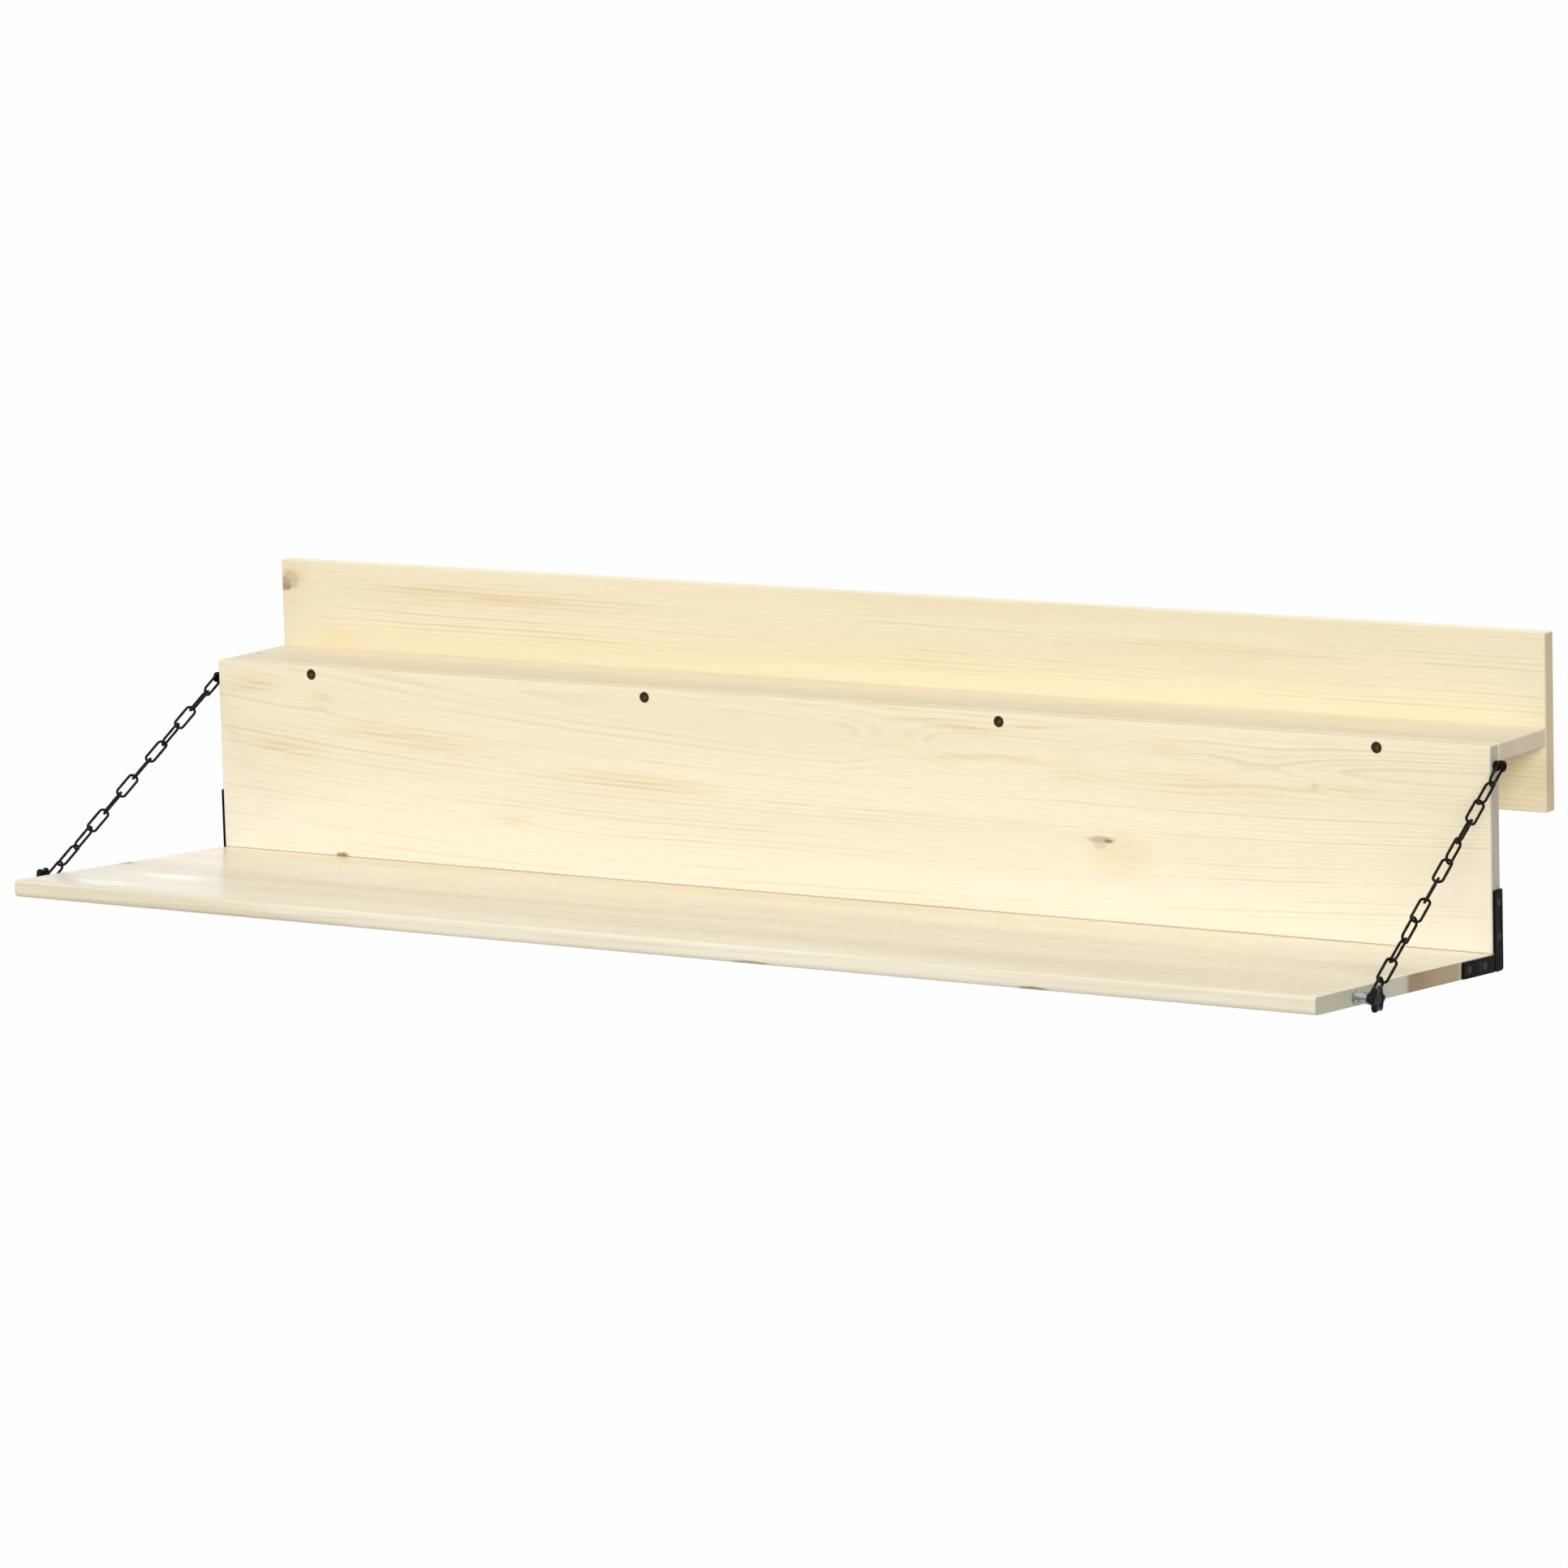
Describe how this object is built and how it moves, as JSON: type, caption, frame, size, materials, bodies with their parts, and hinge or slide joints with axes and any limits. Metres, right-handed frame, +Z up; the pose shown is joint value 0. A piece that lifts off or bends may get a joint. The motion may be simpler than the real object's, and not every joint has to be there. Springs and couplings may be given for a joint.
{
  "type": "folding balcony table",
  "caption": "Wooden balcony table that hangs over a railing: a narrow shelf between two panels and a hinged leaf held up by chains with star knobs.",
  "frame": {"origin": "middle of the shelf's underside, where the railing carries the table", "axes": "+X along the railing, -Y out over the balcony towards the person at the table, +Z up"},
  "size_m": [1.2422, 0.3942, 0.2486],
  "materials": {
    "spruce": "untreated planed spruce, pale, with fine straight grain and a few knots",
    "black_steel": "satin black coating on the straps and screws",
    "black_chain": "black coated bent wire",
    "zinc_steel": "bright zinc plated, turned",
    "black_plastic": "moulded black plastic, fine matt texture"
  },
  "bodies": {
    "railing_frame": {"front_panel": "spruce", "shelf_board": "spruce", "back_panel": "spruce", "front_panel_screw_1": "black_steel", "front_panel_screw_2": "black_steel", "front_panel_screw_3": "black_steel", "front_panel_screw_4": "black_steel", "back_panel_screw_1": "black_steel", "back_panel_screw_2": "black_steel", "back_panel_screw_3": "black_steel", "back_panel_screw_4": "black_steel", "fixed_strap_left": "black_steel", "fixed_strap_right": "black_steel", "fixed_strap_left_screw_1": "black_steel", "fixed_strap_left_screw_2": "black_steel", "fixed_strap_right_screw_1": "black_steel", "fixed_strap_right_screw_2": "black_steel", "hinge_pin_left": "black_steel", "hinge_pin_right": "black_steel", "chain_anchor_left": "black_steel", "chain_anchor_right": "black_steel", "anchor_spacer_left": "black_steel", "anchor_spacer_right": "black_steel"},
    "leaf": {"table_leaf": "spruce", "leaf_strap_left": "black_steel", "leaf_strap_right": "black_steel", "leaf_strap_left_screw_1": "black_steel", "leaf_strap_left_screw_2": "black_steel", "leaf_strap_right_screw_1": "black_steel", "leaf_strap_right_screw_2": "black_steel", "threaded_sleeve_left": "zinc_steel", "threaded_sleeve_right": "zinc_steel"},
    "chain_left": {"chain_link_left_01": "black_chain", "chain_link_left_02": "black_chain", "chain_link_left_03": "black_chain", "chain_link_left_04": "black_chain", "chain_link_left_05": "black_chain", "chain_link_left_06": "black_chain", "chain_link_left_07": "black_chain", "chain_link_left_08": "black_chain", "chain_link_left_09": "black_chain", "chain_link_left_10": "black_chain", "chain_link_left_11": "black_chain", "chain_link_left_12": "black_chain"},
    "chain_right": {"chain_link_right_01": "black_chain", "chain_link_right_02": "black_chain", "chain_link_right_03": "black_chain", "chain_link_right_04": "black_chain", "chain_link_right_05": "black_chain", "chain_link_right_06": "black_chain", "chain_link_right_07": "black_chain", "chain_link_right_08": "black_chain", "chain_link_right_09": "black_chain", "chain_link_right_10": "black_chain", "chain_link_right_11": "black_chain", "chain_link_right_12": "black_chain"},
    "knob_left": {"star_knob_left": "black_plastic", "knob_stud_left": "zinc_steel"},
    "knob_right": {"star_knob_right": "black_plastic", "knob_stud_right": "zinc_steel"}
  },
  "joints": [
    {"name": "leaf_fold", "type": "hinge", "parent": "railing_frame", "child": "leaf", "pos_m": [0, -0.0473, -0.1536], "axis": [1, 0, 0], "range_deg": [0, 93.6]},
    {"name": "chain_swing_left", "type": "hinge", "parent": "railing_frame", "child": "chain_left", "pos_m": [-0.6051, -0.0473, -0.002], "axis": [1, 0, 0], "range_deg": [0, 59.4]},
    {"name": "chain_swing_right", "type": "hinge", "parent": "railing_frame", "child": "chain_right", "pos_m": [0.6051, -0.0473, -0.002], "axis": [1, 0, 0], "range_deg": [0, 59.4]},
    {"name": "knob_turn_left", "type": "hinge", "parent": "chain_left", "child": "knob_left", "pos_m": [-0.6155, -0.27884, -0.13903], "axis": [-1, 0, 0], "continuous": true},
    {"name": "knob_turn_right", "type": "hinge", "parent": "chain_right", "child": "knob_right", "pos_m": [0.6155, -0.27884, -0.13903], "axis": [1, 0, 0], "continuous": true}
  ],
  "couplings": [
    {"joint": "chain_swing_left", "follows": "leaf_fold", "ratio": 0.6344},
    {"joint": "chain_swing_right", "follows": "leaf_fold", "ratio": 0.6344}
  ]
}
